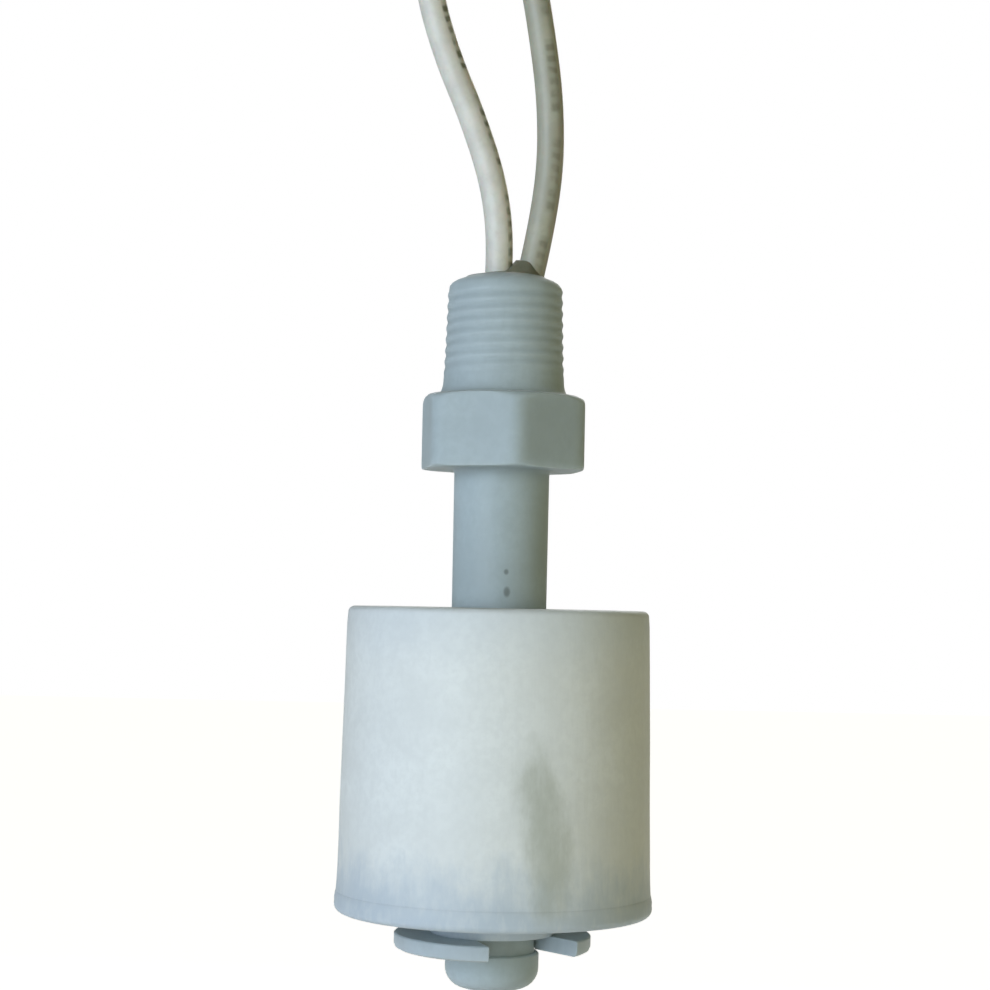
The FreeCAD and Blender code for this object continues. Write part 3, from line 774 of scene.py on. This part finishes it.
def closed_end(sizes):
    """Outline up the outside of the stem: its rounded end, the clip's groove and the shank."""
    low_r = sizes.stem_radius - sizes.stem_draft
    groove_r = sizes.stem_radius - GROOVE_DEPTH
    round_r = sizes.stem_end_round
    edge = 0.12 * MM
    groove_top = CLIP_TOP + 0.1 * MM
    section = [(0.2 * MM, STEM_END + 0.06 * MM), (1.2 * MM, STEM_END + 0.03 * MM)]
    section += arc((low_r - round_r, STEM_END + round_r), round_r, -90, 0, 8)
    section += [(low_r, CLIP_BOTTOM - edge), (low_r - edge, CLIP_BOTTOM), (groove_r, CLIP_BOTTOM),
                (groove_r, groove_top), (low_r - edge, groove_top),
                (low_r + 0.005 * MM, groove_top + edge)]
    under = -sizes.hex_height
    cove = 0.45 * MM
    growth = (sizes.stem_radius - low_r) / (under - CLIP_TOP)
    section += [(low_r + growth * (height - CLIP_TOP), height)
                for height in levels(CLIP_TOP + 0.4 * MM, under - cove, 8)]
    corner = (sizes.stem_radius + cove, under - cove)
    return section + arc(corner, cove, 180, 90, 6)


def hexagon_blank(sizes):
    """Outline of the round blank that the flats are milled on, up to the foot of the thread."""
    under = -sizes.hex_height
    flat_r = sizes.hex_flats / 2
    corner_r = flat_r / math.cos(math.radians(30)) - 0.1 * MM
    low_round = 0.6 * MM
    top_round = 1.15 * MM
    shoulder = -0.55 * MM
    section = [(flat_r - 0.7 * MM, under), (flat_r - 0.35 * MM, under)]
    section += arc((corner_r - low_round, under + low_round), low_round, -90, 0, 8)
    section += [(corner_r, height) for height in levels(under + low_round, shoulder - top_round, 5)]
    section += arc((corner_r - top_round, shoulder - top_round), top_round, 0, 90, 8)
    section += [(flat_r - 0.1 * MM, shoulder + 0.04 * MM)]
    wide, tall = 0.55 * MM, THREAD_FOOT - shoulder - 0.1 * MM
    return section + [(sizes.thread_radius + wide * (1 - math.sin(math.radians(angle))),
                       THREAD_FOOT - tall * math.cos(math.radians(angle)))
                      for angle in range(12, 91, 13)]


def stem_section(sizes):
    """Outline of the stem: up the outside from the closed end, then down the bore."""
    section = closed_end(sizes) + hexagon_blank(sizes)
    rows = round((THREAD_HEAD - THREAD_FOOT) / sizes.thread_pitch * 11)
    section += [(sizes.thread_radius - (height - THREAD_FOOT) * sizes.thread_taper, height)
                for height in levels(THREAD_FOOT, THREAD_HEAD, rows)]
    crown = sizes.thread_radius - (THREAD_HEAD - THREAD_FOOT) * sizes.thread_taper
    section += [(crown - inward * MM, THREAD_HEAD + up * MM) for inward, up in CROWN_STEPS]
    mouth_r = sizes.mouth_radius
    step = -2 * MM
    floor = STEM_END + 2.5 * MM
    section += [(mouth_r + 0.12 * MM, THREAD_HEAD + 1.13 * MM), (mouth_r, THREAD_HEAD + 1.05 * MM),
                (mouth_r, step), (sizes.bore_radius, step), (sizes.bore_radius, floor),
                (0.3 * MM, floor)]
    return section


def cut_thread(piece, sizes):
    """Sinks the helical roots of the pipe thread between its crests, run out at both ends."""
    inside = sizes.mouth_radius + 0.5 * MM
    last = THREAD_HEAD + THREAD_RUN_OUT
    for vertex in piece.data.vertices:
        radius = radius_of(vertex)
        if radius < inside or not THREAD_FOOT < vertex.co.z < last:
            continue
        angle = angle_of(vertex)
        phase = vertex.co.z / sizes.thread_pitch - angle / math.tau
        groove = 0.5 - 0.5 * math.cos(math.tau * phase)
        run_out = min((vertex.co.z - THREAD_FOOT) / (1.4 * MM),
                      (last - vertex.co.z) / (0.9 * MM), 1)
        wear = 0.9 + 0.25 * noise.noise(vertex.co / (1.3 * MM))
        cut = sizes.thread_depth * groove * run_out * wear
        move_out(vertex, radius, radius - cut)


def mill_flats(piece, sizes):
    """Brings the round blank between the thread and the stem in to six flats."""
    flat_r = sizes.hex_flats / 2
    sixth = math.radians(60)
    for vertex in piece.data.vertices:
        radius = radius_of(vertex)
        if radius < flat_r - 0.6 * MM or not -1.001 * sizes.hex_height <= vertex.co.z <= 0:
            continue
        angle = angle_of(vertex) - sizes.hex_turn
        from_flat = abs(angle % sixth - sixth / 2)
        flat = flat_r / math.cos(from_flat)
        next_flat = flat_r / math.cos(sixth - from_flat)
        reached = soft_minimum(radius, soft_minimum(flat, next_flat, 0.4 * MM), 0.1 * MM)
        move_out(vertex, radius, reached)


class FLOATSWITCH_OT_stem(bpy.types.Operator):
    """Draw up the threaded stem with its hexagon, clip groove and gate mark"""

    bl_idname = "floatswitch.stem"
    bl_label = "Threaded Stem"

    def execute(self, context):
        sizes = context.scene.switch_sizes
        piece = turned("threaded_stem", stem_section(sizes), 180)
        mill_flats(piece, sizes)
        cut_thread(piece, sizes)
        low = STEM_LOW[2]
        gate = turned("gate_mark", [(0.12 * MM, low + 0.03 * MM), (0.3 * MM, low + 0.04 * MM),
                                    (0.48 * MM, STEM_END - 0.1 * MM),
                                    (0.62 * MM, STEM_END + 0.1 * MM),
                                    (0.62 * MM, STEM_END + 0.4 * MM)], 24)
        gate_side = 0.9 * MM
        for vertex in gate.data.vertices:
            vertex.co.x += gate_side
        combine(piece, gate, "UNION")
        smooth(piece, 40)
        finish = stem_finish(context.scene.switch_colours)
        dress(piece, "stem", "stem_polypropylene", finish, "stem_body")
        return {"FINISHED"}


# Where each lead leaves the potting, and the epoxy's reach and climb round it, in millimetres
EPOXY_SPOTS = (((-0.56, -0.1), 0.35, 0.15), ((1.95, 0.1), 0.4, 0.6))


def epoxy_height(x, y, radius, lead_radius):
    """Height of the potting's surface over its edge, drawn up round each lead and between them."""
    share = min(math.hypot(x, y) / radius, 1)
    dome, web_height, ripple = 0.42 * MM, 0.6 * MM, 0.06 * MM
    height = dome * (1 - share ** 2.5)
    for (spot_x, spot_y), reach, climb in EPOXY_SPOTS:
        gap = max(math.hypot(x - spot_x * MM, y - spot_y * MM) - lead_radius, 0)
        height += climb * MM * math.exp(-gap / (reach * MM)) * (1 - share ** 8)
    web = ((x - 1.3 * MM) / (1.05 * MM)) ** 4 + ((y + 0.5 * MM) / (1.1 * MM)) ** 4
    height += web_height * math.exp(-web)
    return height + ripple * noise.noise(Vector((x, y, 0)) / (0.9 * MM)) * (1 - share)


class FLOATSWITCH_OT_potting(bpy.types.Operator):
    """Draw the epoxy up round the leads at the top of the nipple"""

    bl_idname = "floatswitch.potting"
    bl_label = "Potting Collar"

    def execute(self, context):
        sizes = context.scene.switch_sizes
        radius = sizes.mouth_radius - 0.02 * MM
        base = NIPPLE_TOP - 0.45 * MM
        count = 26
        rings = [(radius * (1 - step / count), base + 0.3 * MM) for step in range(count)]
        piece = turned("potting_collar", [(0.2 * MM, base), (radius, base)] + rings, 72)
        lead_radius = sizes.lead_diameter / 2
        for vertex in piece.data.vertices:
            if vertex.co.z > base + 0.2 * MM:
                vertex.co.z += epoxy_height(vertex.co.x, vertex.co.y, radius, lead_radius)
        smooth(piece, 60)
        finish = potting_finish(context.scene.switch_colours.potting)
        dress(piece, "stem", "potting_epoxy", finish)
        finish.coat(frame["nodes"]["potting"])
        return {"FINISHED"}


# ---------------- clip and float


class FLOATSWITCH_OT_clip(bpy.types.Operator):
    """Cut the open retaining clip that the float rests on"""

    bl_idname = "floatswitch.clip"
    bl_label = "Retaining Clip"

    def execute(self, context):
        sizes = context.scene.switch_sizes
        outer_r = max(CLIP_HIGH[0], -CLIP_LOW[0])
        groove_r = sizes.stem_radius - GROOVE_DEPTH
        throat = groove_r - 0.8 * MM
        mouth = 3.95 * MM
        crown = 0.1 * MM
        low = CLIP_BOTTOM + 0.2 * MM
        high = CLIP_TOP
        inner_r = groove_r + 0.05 * MM
        section = [(inner_r, low), (outer_r - 0.4 * MM, low),
                   (outer_r - 0.12 * MM, low + 0.14 * MM), (outer_r, low + 0.42 * MM),
                   (outer_r, high - crown), (outer_r - crown, high), (inner_r, high)]
        piece = turned("clip_ring", section, 144, ring=True)
        reach = 10 * MM
        middle = (low + high) / 2
        slot_size = (reach, 2 * throat, high - low + 2 * MM)
        wedge = block("clip_slot", slot_size, (reach / 2, 0, middle))
        throat_at, mouth_at = 1.8 * MM, 7.2 * MM
        flare = 1 + (reach - throat_at) / (mouth_at - throat_at) * (mouth / throat - 1)
        take(wedge)
        bpy.ops.object.mode_set(mode="EDIT")
        select_where(wedge, lambda v: v.co.x > reach / 2)
        bpy.ops.transform.resize(value=(1, flare, 1), center_override=(reach, 0, middle))
        bpy.ops.object.mode_set(mode="OBJECT")
        wedge.data.transform(Matrix.Rotation(sizes.clip_slot_turn, 4, "Z"))
        combine(piece, wedge, "DIFFERENCE")
        soften(piece, 0.12 * MM, 3, 50)
        smooth(piece, 30)
        finish = clip_finish(context.scene.switch_colours)
        dress(piece, "stem", "clip_polypropylene", finish, "retaining_clip")
        return {"FINISHED"}


def shell_section(sizes):
    """Outline of the float's shell: up the bore, down the outside and up the inside."""
    top_r = SEAM_RADIUS - FLOAT_DRAFT
    bore_r = sizes.stem_radius + RUNNING_GAP
    tube_r = bore_r + TUBE_WALL
    edge = 0.55 * MM
    height = FLOAT_TOP - FLOAT_SEAM
    section = [(bore_r, FLOAT_SEAM), (bore_r, FLOAT_TOP - 0.2 * MM), (bore_r + 0.2 * MM, FLOAT_TOP)]
    section += [(bore_r + (top_r - edge - bore_r) * share, FLOAT_TOP) for share in (0.35, 0.7)]
    section += arc((top_r - edge, FLOAT_TOP - edge), edge, 90, 0, 7)
    for level in levels(FLOAT_TOP - edge, FLOAT_SEAM, 26):
        share = (FLOAT_TOP - level) / height
        bulge = 0.55 * share + 0.45 * share ** 0.5
        flare = WELD_FLARE * max(1 - (level - FLOAT_SEAM) / (3 * MM), 0) ** 2
        section.append((top_r + (SEAM_RADIUS - top_r) * bulge + flare, level))
    wall_r = SEAM_RADIUS - sizes.float_wall
    ceiling = FLOAT_TOP - sizes.float_wall
    shoulder = MAGNET_TOP + 0.15 * MM
    shoulder_r = tube_r + 1.1 * MM
    section += [(SEAM_RADIUS + WELD_FLARE, FLOAT_SEAM), (wall_r, FLOAT_SEAM),
                (top_r - sizes.float_wall, ceiling), (shoulder_r, ceiling),
                (shoulder_r, shoulder), (tube_r, shoulder), (tube_r, FLOAT_SEAM)]
    return section


def weather_shell(piece, sizes):
    """Slight unevenness of the moulded wall and its battered top edge."""
    inside = SEAM_RADIUS - sizes.float_wall + 0.05 * MM
    for vertex in piece.data.vertices:
        radius = radius_of(vertex)
        if radius < inside or vertex.co.z < FLOAT_SEAM + 0.2 * MM:
            continue
        foot = min((vertex.co.z - FLOAT_SEAM) / (4 * MM), 1)
        wave = 0.05 * MM * foot * noise.noise(vertex.co / (6 * MM))
        edge = max(0, 1 - (FLOAT_TOP - vertex.co.z) / (1.2 * MM))
        chips = 0.07 * MM * edge * noise.noise(vertex.co / (0.9 * MM))
        move_out(vertex, radius, radius + wave + chips)
        vertex.co.z -= abs(chips) + 0.02 * MM * edge


class FLOATSWITCH_OT_float_shell(bpy.types.Operator):
    """Draw the drafted float with its bore tube"""

    bl_idname = "floatswitch.float_shell"
    bl_label = "Float Shell"

    def execute(self, context):
        sizes = context.scene.switch_sizes
        piece = turned("float_body", shell_section(sizes), FLOAT_SIDES, ring=True)
        weather_shell(piece, sizes)
        smooth(piece, 40)
        finish = float_finish("float_plastic", context.scene.switch_colours)
        dress(piece, "float", "float_polypropylene", finish, "float_shell")
        return {"FINISHED"}


def cap_section(sizes):
    """Outline of the float's cap: boss and rim below, locating ring and magnet support above."""
    bore_r = sizes.stem_radius + RUNNING_GAP
    rim_r = (CAP_HIGH[0] - CAP_LOW[0]) / 2
    base = FLOAT_SEAM - 1.7 * MM
    rounding = 0.62 * MM
    boss_r = 6.1 * MM
    magnet_r = bore_r + MAGNET_CLEARANCE
    support_r = magnet_r + 1.5 * MM
    ring_r = SEAM_RADIUS - sizes.float_wall - 0.16 * MM
    ring_top = FLOAT_SEAM + 3 * MM
    joint = FLOAT_SEAM + 0.02 * MM
    section = [(bore_r, CAP_LOW[2]), (5.1 * MM, CAP_LOW[2]), (5.25 * MM, CAP_LOW[2] + 0.15 * MM),
               (5.7 * MM, base - 0.25 * MM), (boss_r, base)]
    section += [(boss_r + (rim_r - rounding - boss_r) * share, base) for share in (0.33, 0.66)]
    section += arc((rim_r - rounding, base + rounding), rounding, -90, 0, 6)
    section += [(rim_r - 0.02 * MM, FLOAT_SEAM - 0.85 * MM),
                (SEAM_RADIUS + 0.19 * MM, FLOAT_SEAM - 0.5 * MM),
                (SEAM_RADIUS + WELD_FLARE + 0.01 * MM, joint), (ring_r, joint),
                (ring_r, ring_top), (ring_r - 1.1 * MM, ring_top), (ring_r - 1.1 * MM, FLOAT_SEAM),
                (support_r, FLOAT_SEAM), (support_r, MAGNET_SEAT), (magnet_r, MAGNET_SEAT),
                (magnet_r, FLOAT_SEAM), (bore_r, FLOAT_SEAM)]
    return section


class FLOATSWITCH_OT_float_cap(bpy.types.Operator):
    """Draw the welded cap under the float, with its ribs"""

    bl_idname = "floatswitch.float_cap"
    bl_label = "Float Cap"

    def execute(self, context):
        sizes = context.scene.switch_sizes
        piece = turned("cap_disc", cap_section(sizes), FLOAT_SIDES, ring=True)
        rib_size = (4.2 * MM, 1 * MM, 2.1 * MM)
        rib_place = (9.3 * MM, 0, FLOAT_SEAM + 0.95 * MM)
        for index in range(6):
            rib = block("cap_rib", rib_size, rib_place)
            soften(rib, 0.12 * MM, 2)
            rib.data.transform(Matrix.Rotation(math.radians(60 * index + 1.1), 4, "Z"))
            combine(piece, rib, "UNION")
        smooth(piece, 35)
        finish = float_finish("cap_plastic", context.scene.switch_colours)
        dress(piece, "float", "cap_polypropylene", finish, "float_cap")
        return {"FINISHED"}


class FLOATSWITCH_OT_inner_parts(bpy.types.Operator):
    """Finish the magnet, the reed switch and the splices inside"""

    bl_idname = "floatswitch.inner_parts"
    bl_label = "Inner Parts"

    def execute(self, context):
        nodes = frame["nodes"]
        ferrite_finish().coat(nodes["float_magnet"])
        glass_finish().coat(nodes["reed_glass"])
        metal_finish("reed_alloy", paint(186, 184, 178), 0.3, 3000, (1, 1, 0.1)).coat(
            nodes["reed_blade_upper"], nodes["reed_blade_lower"])
        metal_finish("tinned_copper", paint(204, 202, 195), 0.32, 3000, (1, 1, 0.1)).coat(
            nodes["left_conductor"], nodes["right_conductor"])
        metal_finish("solder_alloy", paint(190, 191, 192), 0.28, 1500).coat(
            nodes["left_solder"], nodes["right_solder"])
        sleeve_finish("shrink_sleeving", paint(52, 53, 55)).coat(
            nodes["left_splice_sleeve"], nodes["right_splice_sleeve"])
        sleeve_finish("return_sleeving", paint(216, 214, 205), 0.45).coat(nodes["return_sleeve"])
        return {"FINISHED"}


# ---------------- studio


def floor_finish(colour):
    """Plain pale floor that reads as white to the camera where no shadow falls on it."""
    finish = Finish("studio_floor", 0.9)
    faint = finish.grain(30, 2)
    finish.link("Base Color", finish.blend(faint * 0.03, colour, shade(colour, 0.97)))
    rays = finish.rays("Is Camera Ray", "Is Glossy Ray", "Is Transmission Ray")
    glow = finish.add("ShaderNodeEmission", None, {"Strength": rays * 0.9})
    lit = Signal(finish, finish.shader.outputs[0])
    finish.close(finish.add("ShaderNodeAddShader", None, {0: lit, 1: glow}), "Material Output")
    return finish


def studio_world():
    """Dim warm surroundings that the camera and glass see as white."""
    world = bpy.data.worlds.new("studio")
    bpy.context.scene.world = world
    world.use_nodes = True
    nodes = Nodes(world.node_tree)
    background = nodes.tree.nodes["Background"]
    background.inputs["Color"].default_value = (1.0, 0.945, 0.62, 1)
    background.inputs["Strength"].default_value = 0.135
    dim = Signal(nodes, background.outputs[0])
    white = nodes.add("ShaderNodeBackground", None, {"Color": (1, 1, 1, 1)})
    seen = nodes.rays("Is Camera Ray", "Is Transmission Ray")
    nodes.close(nodes.add("ShaderNodeMixShader", None, {0: seen, 1: dim, 2: white}), "World Output")


def lamp(name, place, aim, size, power, colour):
    """Soft square lamp that faces a point."""
    data = bpy.data.lights.new(name, "AREA")
    data.size = size
    data.energy = power
    data.color = colour
    piece = placed(name, data)
    piece.location = place
    piece.visible_camera = False
    piece.rotation_euler = (Vector(aim) - Vector(place)).to_track_quat("-Z", "Y").to_euler()


class FLOATSWITCH_OT_camera(bpy.types.Operator):
    """Set the camera in front, at the level of the float's top"""

    bl_idname = "floatswitch.camera"
    bl_label = "Camera"

    def execute(self, context):
        studio = context.scene.switch_studio
        data = bpy.data.cameras.new("view")
        camera = placed("view", data)
        place = Vector((studio.aim_side, -studio.distance, studio.eye_height))
        aim = Vector((studio.aim_side, 0, studio.aim_height))
        sight = aim - place
        data.lens = data.sensor_width * sight.length / studio.view_width
        data.clip_start, data.clip_end = 5 * MM, 20
        camera.location = place
        look = sight.to_track_quat("-Z", "Y").to_matrix() @ Matrix.Rotation(studio.roll, 3, "Z")
        camera.rotation_euler = look.to_euler()
        context.scene.camera = camera
        return {"FINISHED"}


class FLOATSWITCH_OT_stage(bpy.types.Operator):
    """Lay the floor and light the stage"""

    bl_idname = "floatswitch.stage"
    bl_label = "Stage"

    def execute(self, context):
        studio = context.scene.switch_studio
        deselect()
        level = STEM_LOW[2] - studio.floor_gap
        bpy.ops.mesh.primitive_plane_add(size=6, location=(0, 0, level))
        floor = named("floor")
        floor_finish(context.scene.switch_colours.floor).coat(floor)
        aim = (0, 0, -20 * MM)
        cool, warm, plain = (0.75, 0.86, 1.05), (1.0, 0.92, 0.45), (0.98, 0.99, 1.0)
        lamp("key", (-0.32, -0.41, 0.06), aim, 0.34, studio.key_power, cool)
        lamp("fill", (0.34, -0.39, 0.03), aim, 0.3, studio.fill_power, warm)
        lamp("back", (0.06, 0.46, 0.24), aim, 0.3, studio.back_power, plain)
        studio_world()
        context.scene.view_settings.view_transform = "Standard"
        return {"FINISHED"}


OPERATORS = (FLOATSWITCH_OT_camera, FLOATSWITCH_OT_leads, FLOATSWITCH_OT_stem,
             FLOATSWITCH_OT_potting, FLOATSWITCH_OT_clip, FLOATSWITCH_OT_float_shell,
             FLOATSWITCH_OT_float_cap, FLOATSWITCH_OT_inner_parts, FLOATSWITCH_OT_stage)


class FLOATSWITCH_PT_build(bpy.types.Panel):
    """Steps that build the switch and its studio, in order"""

    bl_idname = "FLOATSWITCH_PT_build"
    bl_label = "Float Level Switch"
    bl_space_type = "VIEW_3D"
    bl_region_type = "UI"
    bl_category = "Level Switch"

    def draw(self, context):
        for operator in OPERATORS:
            self.layout.operator(operator.bl_idname)
        scene = context.scene
        for group in (scene.switch_sizes, scene.switch_colours, scene.switch_studio):
            box = self.layout.box()
            for name in group.__annotations__:
                box.prop(group, name)


CLASSES = (SwitchSizes, SwitchColours, StudioSettings, *OPERATORS, FLOATSWITCH_PT_build)


def register():
    for item in CLASSES:
        bpy.utils.register_class(item)
    bpy.types.Scene.switch_sizes = bpy.props.PointerProperty(type=SwitchSizes)
    bpy.types.Scene.switch_colours = bpy.props.PointerProperty(type=SwitchColours)
    bpy.types.Scene.switch_studio = bpy.props.PointerProperty(type=StudioSettings)


def unregister():
    del bpy.types.Scene.switch_studio
    del bpy.types.Scene.switch_colours
    del bpy.types.Scene.switch_sizes
    for item in reversed(CLASSES):
        bpy.utils.unregister_class(item)


def main():
    register()
    for operator in OPERATORS:
        group, name = operator.bl_idname.split(".")
        getattr(getattr(bpy.ops, group), name)()
    deselect()


if __name__ == "__main__":
    main()
